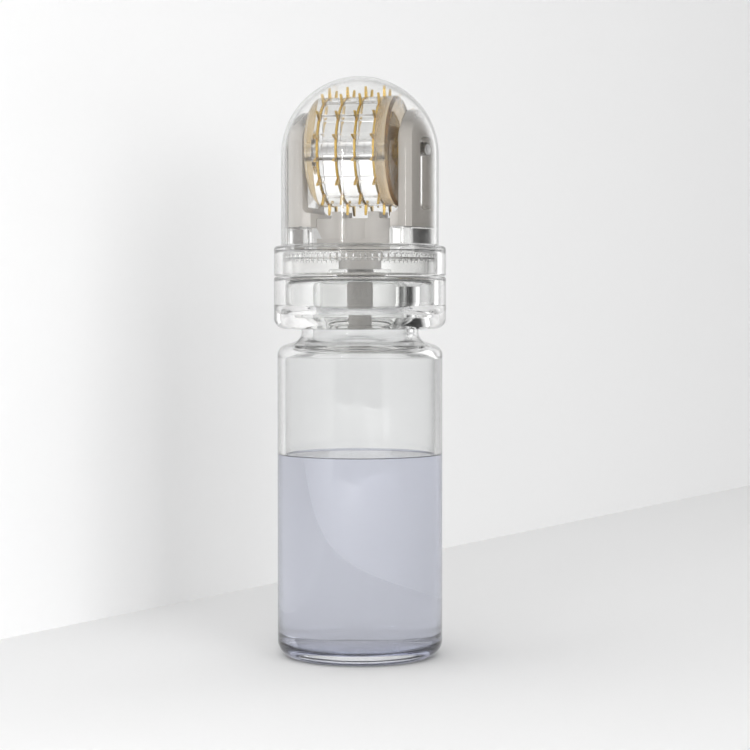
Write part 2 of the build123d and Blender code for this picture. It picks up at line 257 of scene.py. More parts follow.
def rounded(corners, steps=6, guard=0.015 * MM):
    """Closed outline through (x, y, rounding) corners. A corner with a rounding becomes the arc that
    touches both its sides. Guard points just past each arc and beside each sharp corner keep the
    flats flat. A corner on the axis stays as it is."""
    at = np.array([corner[:2] for corner in corners], float)
    rounding = np.array([corner[2] for corner in corners], float)
    back = np.roll(at, 1, axis=0) - at
    ahead = np.roll(at, -1, axis=0) - at
    back_length = np.linalg.norm(back, axis=1)
    ahead_length = np.linalg.norm(ahead, axis=1)
    back /= back_length[:, None]
    ahead /= ahead_length[:, None]
    half = np.arccos(np.clip((back * ahead).sum(1), -1, 1)) / 2
    cut = rounding / np.tan(half)
    spare_ahead = ahead_length - cut - np.roll(cut, -1)
    spare_back = np.roll(spare_ahead, 1)
    share = np.linspace(0, 1, steps + 1)[:, None]
    points = []
    for i in range(len(corners)):
        if rounding[i] == 0 and at[i][0] < ON_AXIS:
            points.append(at[i][None])
            continue
        if rounding[i] == 0:
            points.append(at[i] + np.array([back[i] * guard, (0, 0), ahead[i] * guard]))
            continue
        middle = back[i] + ahead[i]
        centre = at[i] + middle / np.linalg.norm(middle) * rounding[i] / sin(half[i])
        first = at[i] + back[i] * cut[i] - centre
        last = at[i] + ahead[i] * cut[i] - centre
        turn = pi - 2 * half[i]
        arc = centre + (first * np.sin((1 - share) * turn) + last * np.sin(share * turn)) / sin(turn)
        if spare_back[i] > 4 * guard:
            points.append((arc[0] + back[i] * guard)[None])
        points.append(arc)
        if spare_ahead[i] > 4 * guard:
            points.append((arc[-1] + ahead[i] * guard)[None])
    return np.vstack(points)


def placed(name, mesh, body, finish, nodes, smooth=True):
    """Puts a mesh into a new object that rides on a body and stands for CAD nodes."""
    mesh.polygons.foreach_set("use_smooth", np.full(len(mesh.polygons), smooth))
    mesh.update()
    made = bpy.data.objects.new(name, mesh)
    bpy.context.scene.collection.objects.link(made)
    mesh.materials.append(finish)
    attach(made, body)
    if nodes:
        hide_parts(*nodes)
    return made


def piece(name, points, faces, body, slot, finish, nodes, smooth=True):
    """Makes an object from points and faces."""
    mesh = bpy.data.meshes.new(name)
    mesh.from_pydata(points, [], faces)
    mesh.validate()
    return placed(name, mesh, body, finish, nodes, smooth)


def round_edges(made, width, segments, sharper_than):
    """Rounds the edges that turn by more than this angle."""
    edge = made.modifiers.new("edge", "BEVEL")
    edge.width = width
    edge.segments = segments
    edge.limit_method = "ANGLE"
    edge.angle_limit = sharper_than
    return edge


def closed_grid(rows, columns):
    """Corner numbers of the faces of a grid of points that closes on itself both ways. The face at
    row i and column j has the corners (i, j), (i, j + 1), (i + 1, j + 1) and (i + 1, j)."""
    number = np.arange(rows * columns).reshape(rows, columns)
    beside = np.roll(number, -1, axis=1)
    return np.stack([number, beside, np.roll(beside, -1, axis=0), np.roll(number, -1, axis=0)], axis=-1)


def lathe(outline, segments=256, along_x=False, height=0.0, ripple=None):
    """A body of revolution. Outline point (r, h) at angle a lies at (r cos a, r sin a, h), or with the
    axis along X at (h, r cos a, height + r sin a). An outline that starts and ends on the axis gets a
    pole at each end, and any other is closed on itself. ripple(outline, angles) is added to r."""
    poles = outline[0, 0] < ON_AXIS and outline[-1, 0] < ON_AXIS
    following = np.roll(outline, -1, axis=0)
    turning = (outline[:, 0] * following[:, 1] - following[:, 0] * outline[:, 1]).sum()
    if turning < 0:
        outline = outline[::-1]
    rows = outline[1:-1] if poles else outline
    angles = np.arange(segments) * 2 * pi / segments
    radius = np.repeat(rows[:, :1], segments, axis=1)
    if ripple:
        radius = radius + ripple(rows, angles)
    level = np.repeat(rows[:, 1:], segments, axis=1)
    grid = np.stack([radius * np.cos(angles), radius * np.sin(angles), level], axis=-1)
    points = grid.reshape(-1, 3)
    quads = closed_grid(len(rows), segments)
    fans = []
    if poles:
        points = np.vstack([points, [[0, 0, outline[0, 1]], [0, 0, outline[-1, 1]]]])
        low, high = len(points) - 2, len(points) - 1
        fans = [[low, b, a] for a, b in quads[0, :, :2].tolist()]
        fans += [[high, a, b] for a, b in quads[-1, :, :2].tolist()]
        quads = quads[:-1]
    if along_x:
        points = points[:, [2, 0, 1]] + [0, 0, height]
    return points, quads.reshape(-1, 4).tolist() + fans


def merged(points, faces):
    """The same surface with coinciding points joined and faces of no area removed."""
    form = bmesh.new()
    mesh = bpy.data.meshes.new("merged")
    mesh.from_pydata(points, [], faces)
    form.from_mesh(mesh)
    bmesh.ops.remove_doubles(form, verts=form.verts, dist=SAME_POINT)
    bmesh.ops.dissolve_degenerate(form, edges=form.edges, dist=SAME_POINT)
    form.verts.index_update()
    joined = [tuple(v.co) for v in form.verts]
    kept = [[v.index for v in f.verts] for f in form.faces]
    form.free()
    bpy.data.meshes.remove(mesh)
    return joined, kept


def moulded_copy(name, node, body, finish, bevel):
    """A copy of a CAD node with its triangles merged into whole faces and its edges rounded."""
    form = bmesh.new()
    form.from_mesh(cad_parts[node].data)
    bmesh.ops.remove_doubles(form, verts=form.verts, dist=SAME_POINT)
    bmesh.ops.dissolve_limit(form, angle_limit=radians(0.5), verts=form.verts, edges=form.edges)
    mesh = bpy.data.meshes.new(name)
    form.to_mesh(mesh)
    form.free()
    mesh.materials.clear()
    made = placed(name, mesh, body, finish, [node])
    round_edges(made, bevel, 3, radians(35)).harden_normals = True


# ---- finishes ---------------------------------------------------------------------------


def new_finish(name):
    """A material with its Principled shader, and the tree that both are in."""
    material = bpy.data.materials.get(name)
    if material:
        bpy.data.materials.remove(material)
    material = bpy.data.materials.new(name)
    material.use_nodes = True
    tree = material.node_tree
    return material, tree, tree.nodes["Principled BSDF"]


def noise(tree, scale, detail=4.0, stretch=(1, 1, 1)):
    """Noise on Object coordinates, with its scale in features per metre."""
    place = tree.nodes.new("ShaderNodeTexCoord")
    turn = tree.nodes.new("ShaderNodeMapping")
    turn.inputs["Scale"].default_value = stretch
    grain = tree.nodes.new("ShaderNodeTexNoise")
    grain.inputs["Scale"].default_value = scale
    grain.inputs["Detail"].default_value = detail
    tree.links.new(place.outputs["Object"], turn.inputs["Vector"])
    tree.links.new(turn.outputs["Vector"], grain.inputs["Vector"])
    return grain.outputs["Fac"]


def bump(tree, shader, value, strength, depth):
    """Raises the surface where value is high."""
    raised = tree.nodes.new("ShaderNodeBump")
    raised.inputs["Strength"].default_value = strength
    raised.inputs["Distance"].default_value = depth
    tree.links.new(value, raised.inputs["Height"])
    tree.links.new(raised.outputs["Normal"], shader.inputs["Normal"])


def between(tree, value, low, high):
    """The middle stretch of value, from 0.3 to 0.7, carried over to the stretch from low to high."""
    spread = tree.nodes.new("ShaderNodeMapRange")
    spread.inputs["From Min"].default_value = 0.3
    spread.inputs["From Max"].default_value = 0.7
    spread.inputs["To Min"].default_value = low
    spread.inputs["To Max"].default_value = high
    tree.links.new(value, spread.inputs["Value"])
    return spread.outputs["Result"]


def shade(tree, shader, value, colour, spread):
    """Colour that gets lighter with value, by this share of itself either way."""
    mix = tree.nodes.new("ShaderNodeMix")
    mix.data_type = "RGBA"
    mix.inputs["A"].default_value = (*[c * (1 - spread) for c in colour], 1)
    mix.inputs["B"].default_value = (*[min(1, c * (1 + spread)) for c in colour], 1)
    tree.links.new(value, mix.inputs["Factor"])
    tree.links.new(mix.outputs["Result"], shader.inputs["Base Color"])


def clear_finish(name, ior, tint, waviness, lets_lamps=0.0, rim=0.18):
    """Polished clear glass or plastic, a little wavy. Where it is seen edge on, its tint falls by painted
    shade to the given share of itself, which draws dark outlines along its edges. Its shadow lets this
    share of a lamp's light through."""
    material, tree, shader = new_finish(name)
    # Painted shade: the tint darkens where the surface is seen edge on, in place of the dark outlines
    # that light draws there.
    slant = tree.nodes.new("ShaderNodeLayerWeight")
    slant.inputs["Blend"].default_value = 0.5
    edge_on = tree.nodes.new("ShaderNodeMapRange")
    edge_on.interpolation_type = "SMOOTHSTEP"
    edge_on.inputs["From Min"].default_value = 0.56
    tree.links.new(slant.outputs["Facing"], edge_on.inputs["Value"])
    edge_shaded_tint = tree.nodes.new("ShaderNodeMix")
    edge_shaded_tint.data_type = "RGBA"
    edge_shaded_tint.inputs["A"].default_value = (*tint, 1)
    edge_shaded_tint.inputs["B"].default_value = (*[c * rim for c in tint], 1)
    tree.links.new(edge_on.outputs["Result"], edge_shaded_tint.inputs["Factor"])
    tree.links.new(edge_shaded_tint.outputs["Result"], shader.inputs["Base Color"])
    shader.inputs["Transmission Weight"].default_value = 1.0
    shader.inputs["IOR"].default_value = ior
    shader.inputs["Roughness"].default_value = 0.0
    bump(tree, shader, noise(tree, 90, 1.5), waviness, 0.02 * MM)
    if lets_lamps:
        through = tree.nodes.new("ShaderNodeBsdfTransparent")
        through.inputs["Color"].default_value = (lets_lamps, lets_lamps, lets_lamps, 1)
        path = tree.nodes.new("ShaderNodeLightPath")
        either = tree.nodes.new("ShaderNodeMixShader")
        tree.links.new(path.outputs["Is Shadow Ray"], either.inputs["Fac"])
        tree.links.new(shader.outputs["BSDF"], either.inputs[1])
        tree.links.new(through.outputs["BSDF"], either.inputs[2])
        output = next(n for n in tree.nodes if n.type == "OUTPUT_MATERIAL")
        tree.links.new(either.outputs["Shader"], output.inputs["Surface"])
    return material


def moulded_finish(name, base, roughness):
    """Satin moulded plastic: fine grain, faint flow clouds and uneven gloss."""
    material, tree, shader = new_finish(name)
    grain = noise(tree, 9000, 3)
    clouds = noise(tree, 260, 3, (1, 1, 0.35))
    shade(tree, shader, clouds, base, 0.07)
    gloss = between(tree, clouds, roughness - 0.06, roughness + 0.06)
    tree.links.new(gloss, shader.inputs["Roughness"])
    bump(tree, shader, grain, 0.25, 0.01 * MM)
    return material


def porous_finish(name, base):
    """Sintered porous rod: pale grains with dark pores between them."""
    material, tree, shader = new_finish(name)
    place = tree.nodes.new("ShaderNodeTexCoord")
    grains = tree.nodes.new("ShaderNodeTexVoronoi")
    grains.inputs["Scale"].default_value = 6500
    tree.links.new(place.outputs["Object"], grains.inputs["Vector"])
    pores = between(tree, grains.outputs["Distance"], 1.0, 0.0)
    shade(tree, shader, pores, base, 0.12)
    shader.inputs["Roughness"].default_value = 0.75
    bump(tree, shader, pores, 0.5, 0.02 * MM)
    return material


def gold_finish(name, base):
    """Gold plating on etched sheet: fine rolling lines and slightly uneven gloss."""
    material, tree, shader = new_finish(name)
    shader.inputs["Metallic"].default_value = 1.0
    lines = noise(tree, 2500, 3, (1, 1, 0.04))
    clouds = noise(tree, 420, 3)
    shade(tree, shader, clouds, base, 0.12)
    tree.links.new(between(tree, clouds, 0.16, 0.30), shader.inputs["Roughness"])
    bump(tree, shader, lines, 0.25, 0.004 * MM)
    return material


def steel_finish(name):
    """Drawn steel wire with fine lines along it."""
    material, tree, shader = new_finish(name)
    shader.inputs["Metallic"].default_value = 1.0
    lines = noise(tree, 6000, 2, (0.03, 1, 1))
    shade(tree, shader, lines, (0.78, 0.78, 0.79), 0.08)
    tree.links.new(between(tree, lines, 0.14, 0.28), shader.inputs["Roughness"])
    bump(tree, shader, lines, 0.2, 0.003 * MM)
    return material


def silicone_finish(name):
    """Milky silicone rubber."""
    material, tree, shader = new_finish(name)
    clouds = noise(tree, 700, 3)
    shade(tree, shader, clouds, (0.86, 0.86, 0.85), 0.04)
    shader.inputs["Roughness"].default_value = 0.45
    shader.inputs["Transmission Weight"].default_value = 0.55
    shader.inputs["IOR"].default_value = 1.42
    bump(tree, shader, noise(tree, 5000, 2), 0.2, 0.006 * MM)
    return material


def serum_finish(name, tint):
    """Pale lavender liquid."""
    material, tree, shader = new_finish(name)
    shader.inputs["Base Color"].default_value = (*tint, 1)
    shader.inputs["Transmission Weight"].default_value = 1.0
    shader.inputs["IOR"].default_value = 1.36
    shader.inputs["Roughness"].default_value = 0.0
    bump(tree, shader, noise(tree, 60, 1.0), 0.03, 0.02 * MM)
    return material


# ---- pieces -----------------------------------------------------------------------------


class ROLLER_OT_vial(Operator):
    """Make the glass vial as a lathe of its wall"""

    bl_idname = "roller.vial"
    bl_label = "Vial"

    def execute(self, context):
        s = context.scene.roller_vial
        radius, height = reach("vial"), top("vial")
        inside = radius - s.wall
        bead_z = height - s.bead_height
        neck_z = bead_z - s.neck_length
        shoulder_z = neck_z - s.shoulder_rise
        slope = s.shoulder_rise / (radius - s.neck)
        drop = s.wall * sqrt(1 + slope**2)
        floor_z = s.push_up + s.floor
        outline = rounded([
            (0, s.push_up, 0),
            (radius - s.foot_ring - s.push_up_slope, s.push_up, 3 * MM),
            (radius - s.foot_ring, 0, 0.4 * MM),
            (radius, 0, s.heel),
            (radius, shoulder_z, s.shoulder),
            (s.neck, neck_z, s.neck_round),
            (s.neck, bead_z, 0.4 * MM),
            (s.bead, bead_z, s.bead_round),
            (s.bead, height, 0.7 * MM),
            (s.bore, height, 0.5 * MM),
            (s.bore, shoulder_z + slope * (radius - s.bore) - drop, s.neck_round + 0.5 * MM),
            (inside, shoulder_z + slope * (radius - inside) - drop, s.shoulder - 0.5 * MM),
            (inside, floor_z - s.floor_fall, s.inner_heel),
            (0, floor_z, 0),
        ], steps=10)
        finish = clear_finish("drawn_glass", 1.48, (0.925, 0.93, 0.93), 0.06)
        piece("glass_vial", *lathe(outline), "vial", "vial_glass", finish, ["vial"])
        return {"FINISHED"}


class ROLLER_OT_serum(Operator):
    """Make the liquid, with a raised edge where it wets the glass"""

    bl_idname = "roller.serum"
    bl_label = "Serum"

    def execute(self, context):
        s = context.scene.roller_vial
        inside = reach("vial") - s.wall + s.overlap
        floor_z = s.push_up + s.floor - s.overlap
        level = top("serum") - s.meniscus_rise
        outline = rounded([
            (0, floor_z, 0),
            (inside, floor_z - s.floor_fall, s.inner_heel),
            (inside, top("serum"), 0),
            (inside - s.meniscus - s.overlap, level, 0.4 * MM),
            (0, level, 0),
        ], steps=10)
        finish = serum_finish("lavender_serum", s.serum_tint)
        piece("pale_serum", *lathe(outline), "vial", "pale_serum", finish, ["serum"])
        return {"FINISHED"}


class ROLLER_OT_collar(Operator):
    """Make the snap collar and the seal under its plate"""

    bl_idname = "roller.collar"
    bl_label = "Snap collar"

    def execute(self, context):
        s = context.scene.roller_head
        vial = context.scene.roller_vial
        plate_z = top("neck_seal")
        plate_top = plate_z + s.plate
        radius, base = reach("snap_collar"), bottom("snap_collar")
        bore = radius - s.collar_wall
        lip_z = top("vial") - vial.bead_height - s.lip_drop
        hole = s.wick + 0.05 * MM
        seat = s.washer + 0.07 * MM
        outline = rounded([
            (hole, plate_top, 0),
            (seat, plate_top, 0),
            (seat, plate_z, 0.1 * MM),
            (s.plug - s.plug_wall, plate_z, 0.4 * MM),
            (s.plug - s.plug_wall, plate_z - s.plug_depth, 0.1 * MM),
            (s.plug - 0.3 * MM, plate_z - s.plug_depth, 0.1 * MM),
            (s.plug, plate_z - s.plug_depth + 0.5 * MM, 0.3 * MM),
            (s.plug, plate_z, 0.1 * MM),
            (bore, plate_z, 0.3 * MM),
            (bore, lip_z + bore - s.lip, 0.3 * MM),
            (s.lip, lip_z, 0.15 * MM),
            (s.lip, lip_z - s.lip_height, 0.3 * MM),
            (s.lead_in, base + 0.7 * MM, 0.5 * MM),
            (s.lead_in, base, 0.3 * MM),
            (radius, base, s.collar_wall - 0.1 * MM),
            (radius, plate_z + s.collar_step, 0.3 * MM),
            (s.ring, plate_z + s.collar_step, 0.05 * MM),
            (s.ring, plate_top, 0.1 * MM),
            (s.boss, plate_top, 0.2 * MM),
            (s.boss, top("snap_collar") - s.film, 0.2 * MM),
            (hole, top("snap_collar") - s.film, 0.1 * MM),
        ], steps=8)
        finish = clear_finish("clear_plastic", 1.22, (0.99, 0.99, 0.985), 0.03)
        piece("clear_collar", *lathe(outline), "head", "clear_plastic", finish, ["snap_collar"])
        ring = rounded([
            (s.plug + 0.1 * MM, bottom("neck_seal"), 0.08 * MM),
            (vial.bead - 0.5 * MM, bottom("neck_seal"), 0.08 * MM),
            (vial.bead - 0.5 * MM, plate_z - s.film, 0.08 * MM),
            (s.plug + 0.1 * MM, plate_z - s.film, 0.08 * MM),
        ])
        finish = silicone_finish("milky_silicone")
        piece("silicone_seal", *lathe(ring, 192), "head", "seal_silicone", finish, ["neck_seal"])
        return {"FINISHED"}


class ROLLER_OT_wick(Operator):
    """Make the porous wick and the washer round it"""

    bl_idname = "roller.wick"
    bl_label = "Wick and washer"

    def execute(self, context):
        s = context.scene.roller_head
        low, high = bottom("feed_wick"), top("feed_wick")
        boss_top = top("snap_collar")
        rod = rounded([
            (0, low, 0),
            (s.wick_tip, low, 0.3 * MM),
            (s.wick_tip, low + s.wick_tip_length, 0.05 * MM),
            (s.wick, low + s.wick_tip_length + 0.15 * MM, 0.05 * MM),
            (s.wick, boss_top, 0.05 * MM),
            (s.spindle, boss_top, 0.05 * MM),
            (s.spindle, high, 0.2 * MM),
            (0, high, 0),
        ])
        finish = porous_finish("sintered_wick", s.felt)
        piece("porous_wick", *lathe(rod, 96), "head", "wick_felt", finish, ["feed_wick"])
        ring = rounded([
            (s.wick + 0.05 * MM, bottom("wick_washer"), 0.04 * MM),
            (s.washer, bottom("wick_washer"), 0.1 * MM),
            (s.washer, top("wick_washer") - s.film, 0.05 * MM),
            (s.wick + 0.05 * MM, top("wick_washer") - s.film, 0.04 * MM),
        ])
        finish = moulded_finish("grey_washer", [c * 0.9 for c in s.plastic], 0.5)
        piece("washer", *lathe(ring, 128), "head", "warm_grey_plastic", finish, ["wick_washer"])
        return {"FINISHED"}


def dome_radius(cap):
    """Radius of the cap's dome."""
    return reach("cap") - cap.dome_step


def fork_arm(s, cap, deck_z):
    """Points and faces of the arm on the side of +X. Its rows go up from the deck, over a step under
    the bracket, to a round top: above the axle the row at slant t lies width * sin(t) higher and is
    width * cos(t) wide. Each row runs along the flat inner face and back along the outer face, which
    lies at x = sqrt(r * r - y * y - h * h), with h the height over the centre of the dome. Quarter
    circles round the arm's edges. The lowest row is closed by a foot."""
    axle_z = axle_height()
    dome_z = top("cap") - dome_radius(cap)
    radius = dome_radius(cap) - cap.wall - s.cap_gap
    pad_z = bottom("bracket_right") - s.film
    rise = np.linspace(0, pi / 2, 33)
    step = rounded([
        (s.arm_gap - s.arm_step, deck_z, 0),
        (s.arm_gap - s.arm_step, pad_z, 0.12 * MM),
        (s.arm_gap, pad_z, 0.25 * MM),
        (s.arm_gap, axle_z, 0),
    ])[1:-1]
    inner_x = np.concatenate([step[:, 0], np.full(len(rise) - 1, s.arm_gap)])
    level = np.concatenate([step[:, 1], axle_z + s.arm_width * np.sin(rise[1:])])
    slant = np.concatenate([np.zeros(len(step)), rise[1:]])
    width = s.arm_width * np.cos(slant)

    bend = np.linspace(0, pi / 2, 7)
    pull = s.arm_edge * (1 - np.sin(bend))
    depth = s.arm_edge * (1 - np.cos(bend))
    edge_y = width[:, None] - pull * np.cos(slant)[:, None]
    edge_z = level[:, None] - pull * np.sin(slant)[:, None]
    share = np.linspace(-1, 1, 25)[1:-1]
    flat_y = share * edge_y[:, :1]
    flat_z = np.repeat(edge_z[:, :1], len(share), axis=1)
    y = np.hstack([-edge_y[:, ::-1], flat_y, edge_y])
    z = np.hstack([edge_z[:, ::-1], flat_z, edge_z])
    outside = np.sqrt(radius**2 - y**2 - np.clip(z - dome_z, 0, None)**2)
    sunk = np.concatenate([depth[::-1], np.zeros(len(share)), depth])
    inner = np.stack([inner_x[:, None] + sunk, y, z], axis=-1)
    outer = np.stack([outside - sunk, y, z], axis=-1)[:, ::-1]
    rows = np.concatenate([inner, outer], axis=1)

    grid = closed_grid(*rows.shape[:2])
    sides = grid[:-1, :, [0, 3, 2, 1]].reshape(-1, 4)
    under, over_there = grid[0, :, 0].reshape(2, -1)
    over_there = over_there[::-1]
    foot = np.stack([under[:-1], under[1:], over_there[1:], over_there[:-1]], axis=-1)
    return rows.reshape(-1, 3), np.vstack([sides, foot])


class ROLLER_OT_fork(Operator):
    """Make the fork's ribbed base ring with its deck, and its two clear arms"""

    bl_idname = "roller.fork"
    bl_label = "Fork"

    def execute(self, context):
        s = context.scene.roller_head
        cap = context.scene.roller_cap
        base = bottom("fork_shell") + s.film
        ribs_z = base + s.rib_start
        deck_z = bottom("cap") + cap.skirt_rise - s.cap_gap
        ring = rounded([
            (s.ring - s.ring_wall, base, 0.1 * MM),
            (s.ring, base, 0.1 * MM),
            (s.ring, ribs_z - 0.15 * MM, 0),
            (s.ring, ribs_z, 0),
            (s.ring, deck_z - 0.4 * MM, 0),
            (s.ring, deck_z - s.film, 0.2 * MM),
            (s.socket, deck_z - s.film, 0.05 * MM),
            (s.socket, deck_z - s.deck, 0.05 * MM),
            (s.ring - s.ring_wall, deck_z - s.deck, 0.3 * MM),
        ])

        def ribs(rows, angles):
            """Ribs on the upper stretch of the outside: cos(n a), where it is above 0, times the rib's
            height is added to the radius."""
            outside = (rows[:, 0] > s.ring - 0.01 * MM) & (rows[:, 1] > ribs_z - 0.05 * MM)
            outside &= rows[:, 1] < deck_z - 0.3 * MM
            return np.outer(outside * s.rib_height, np.clip(np.cos(s.ribs * angles), 0, 1))

        finish = clear_finish("clear_fork", 1.49, (0.985, 0.985, 0.98), 0.08, 0.96)
        points, faces = lathe(ring, segments=s.ribs * 10, ripple=ribs)
        piece("fork_ring", points, faces, "head", "clear_plastic", finish, ["fork_shell"])

        points, faces = fork_arm(s, cap, deck_z)
        for side, letter in ((1, "right"), (-1, "left")):
            arm, skin = merged(points * [side, 1, 1], faces[:, ::side].tolist())
            piece(f"fork_arm_{letter}", arm, skin, "head", "clear_plastic", finish, [])
        return {"FINISHED"}


class ROLLER_OT_brackets(Operator):
    """Make the two moulded brackets and the comb block"""

    bl_idname = "roller.brackets"
    bl_label = "Brackets and comb"

    def execute(self, context):
        s = context.scene.roller_head
        frames = moulded_finish("warm_grey_moulding", s.plastic, 0.42)
        # The comb block's finish is a darker copy of the brackets' plastic, with painted shade.
        block = moulded_finish("shaded_comb_moulding", [c * s.comb_painted_shade for c in s.plastic], 0.5)
        for node, finish in (("bracket_left", frames), ("bracket_right", frames), ("comb_block", block)):
            moulded_copy(f"moulded_{node}", node, "head", finish, s.bevel)
        return {"FINISHED"}


def disc_face(s, axle_z):
    """One face of a needle disc, as four rings of (y, z) points from the axle's hole to the rim. The
    rim goes out and back along the straight sides of each needle, then along the disc's own circle
    to the next needle. A point at radius r and angle a lies at (r cos a, axle_z + r sin a)."""
    tip = s.disc + s.needle
    needle = np.array([
        (s.disc, -s.needle_width / 2),
        (tip - s.needle_point, -s.needle_neck / 2),
        (tip, -s.needle_end / 2),
        (tip, s.needle_end / 2),
        (tip - s.needle_point, s.needle_neck / 2),
        (s.disc, s.needle_width / 2),
    ])
    pitch = 2 * pi / s.needles
    valley = np.linspace(0.16, 0.84, 6) * pitch
    one_radius = np.concatenate([np.hypot(*needle.T), np.full(len(valley), s.disc)])
    one_angle = np.concatenate([np.arctan2(needle[:, 1], needle[:, 0]), valley])
    turns = (np.arange(s.needles) + 0.5) * pitch
    angle = (turns[:, None] + one_angle).ravel()
    rim = np.tile(one_radius, s.needles)
    rings = np.array([s.axle, 0.45 * s.disc, s.disc - 0.25 * MM])
    radius = np.vstack([np.repeat(rings[:, None], len(rim), axis=1), rim])
    return np.stack([radius * np.cos(angle), radius * np.sin(angle) + axle_z], axis=-1)


class ROLLER_OT_discs(Operator):
    """Make the axle and the gold needle discs"""

    bl_idname = "roller.discs"
    bl_label = "Axle and needle discs"

    def execute(self, context):
        s = context.scene.roller_parts
        axle_z = axle_height()
        end = reach("axle")
        pin = rounded([(0, -end, 0), (s.axle, -end, 0.2 * MM), (s.axle, end, 0.2 * MM), (0, end, 0)])
        points, faces = lathe(pin, 96, along_x=True, height=axle_z)
        piece("steel_axle", points, faces, "roller", "axle_steel", steel_finish("drawn_steel"), ["axle"])

        face = disc_face(s, axle_z)
        finish = gold_finish("gold_plate", s.gold)
        for number in range(1, 5):
            node = f"needle_disc_{number}"
            low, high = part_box(node)
            rows = np.concatenate([
                np.insert(order, 0, x, axis=-1) for x, order in ((low.x, face), (high.x, face[::-1]))
            ])
            points, faces = rows.reshape(-1, 3), closed_grid(*rows.shape[:2]).reshape(-1, 4).tolist()
            name = f"gold_disc_{number}"
            made = piece(name, points, faces, "roller", "gold_needles", finish, [node], smooth=False)
            round_edges(made, s.etched_edge, 2, radians(50))
        return {"FINISHED"}


class ROLLER_OT_drum(Operator):
    """Make the clear spacers between the discs and the flanges at both ends"""

    bl_idname = "roller.drum"
    bl_label = "Spacers and flanges"

    def execute(self, context):
        s = context.scene.roller_parts
        film = context.scene.roller_head.film
        axle_z = axle_height()
        finish = clear_finish("clear_drum", 1.52, (0.98, 0.98, 0.975), 0.05, 0.94)

        def grooves(rows, angles):
            """Flat-bottomed grooves in line with the needles: with b the angle from the nearest needle,
            3 cos(n b) - 1.2, cut off at 0 and 1, times the depth is taken from the outside's radius."""
            wave = np.clip(3.0 * np.cos(s.needles * (angles - pi / s.needles)) - 1.2, 0, 1)
            outside = rows[:, 0] > s.disc - 0.2 * MM
            return -np.outer(outside * s.groove, wave)

        for number in range(1, 4):
            low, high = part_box(f"spacer_{number}")
            left, right = low.x + film, high.x - film
            drum = rounded([
                (s.axle + film, right, 0.05 * MM),
                (s.axle + film, left, 0.05 * MM),
                (s.disc - s.drum_edge, left, s.drum_edge),
                (s.disc - s.drum_edge, right, s.drum_edge),
            ])
            points, faces = lathe(drum, s.needles * 32, along_x=True, height=axle_z, ripple=grooves)
            name = f"spacer_{number}"
            piece(f"clear_{name}", points, faces, "roller", "roller_plastic", finish, [name])

        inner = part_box("end_flange_right")[0].x - s.bite
        face, end = inner + s.bite + s.flange_width - film, reach("end_flange_right")
        flange = rounded([
            (s.axle + film, end, 0.05 * MM),
            (s.axle + film, inner, 0.05 * MM),
            (s.disc, inner, s.drum_edge),
            (s.disc, face - s.flange_edge, s.drum_edge),
            (s.disc - s.flange_edge, face, s.drum_edge),
            (s.hub, face, 0.15 * MM),
            (s.hub, end, 0.12 * MM),
        ])
        for side, letter in ((1, "right"), (-1, "left")):
            turned = flange * [1, side]
            points, faces = lathe(turned, 256, along_x=True, height=axle_z)
            name = f"end_flange_{letter}"
            piece(f"clear_{name}", points, faces, "roller", "roller_plastic", finish, [name])
        return {"FINISHED"}


class ROLLER_OT_cap(Operator):
    """Make the clear domed cap"""

    bl_idname = "roller.cap"
    bl_label = "Cap"

    def execute(self, context):
        s = context.scene.roller_cap
        base, peak = bottom("cap"), top("cap")
        skirt = reach("cap")
        dome = dome_radius(s)
        dome_z = peak - dome
        ceiling = base + s.skirt_rise
        step_z = ceiling + s.skirt_plate
        bend = np.linspace(0, pi / 2, 49)[:, None]
        inside = dome - s.wall
        outer_dome = np.hstack([dome * np.cos(bend), dome_z + dome * np.sin(bend)])
        outer_dome[-1, 0] = 0
        inner_dome = np.hstack([inside * np.sin(bend), dome_z + inside * np.cos(bend)])
        foot = rounded([
            (inside, dome_z - MM, 0),
            (inside, ceiling, 0.15 * MM),
            (skirt - s.skirt_wall, ceiling, 0.25 * MM),
            (skirt - s.skirt_wall, base, 0.15 * MM),
            (skirt, base, 0.2 * MM),
            (skirt, step_z, s.skirt_round),
            (dome, step_z, 0.2 * MM),
            (dome, dome_z - MM, 0),
        ], steps=8)
        shell = np.vstack([inner_dome, foot[1:-1], outer_dome])
        finish = clear_finish("clear_cap", 1.49, (0.985, 0.985, 0.98), 0.03, 0.94)
        points, faces = lathe(shell)
        piece("clear_cap", points, faces, "cap", "clear_plastic", finish, ["cap"])
        return {"FINISHED"}


# ---- studio -----------------------------------------------------------------------------


def one_sided(name, paper):
    """Matt paper that shows only its front, so that nothing is hidden from behind it."""
    material, tree, shader = new_finish(name)
    shader.inputs["Roughness"].default_value = 0.9
    shader.inputs["Specular IOR Level"].default_value = 0.1
    shade(tree, shader, noise(tree, 700, 3), paper, 0.006)
    side = tree.nodes.new("ShaderNodeNewGeometry")
    behind = tree.nodes.new("ShaderNodeBsdfTransparent")
    mix = tree.nodes.new("ShaderNodeMixShader")
    tree.links.new(side.outputs["Backfacing"], mix.inputs["Fac"])
    tree.links.new(shader.outputs["BSDF"], mix.inputs[1])
    tree.links.new(behind.outputs["BSDF"], mix.inputs[2])
    tree.links.new(mix.outputs["Shader"], tree.nodes["Material Output"].inputs["Surface"])
    return material


def panel(name, corners, material):
    """A flat four-cornered sheet of the studio."""
    mesh = bpy.data.meshes.new(name)
    mesh.from_pydata(corners, [], [(0, 1, 2, 3)])
    mesh.materials.append(material)
    made = bpy.data.objects.new(name, mesh)
    bpy.context.scene.collection.objects.link(made)


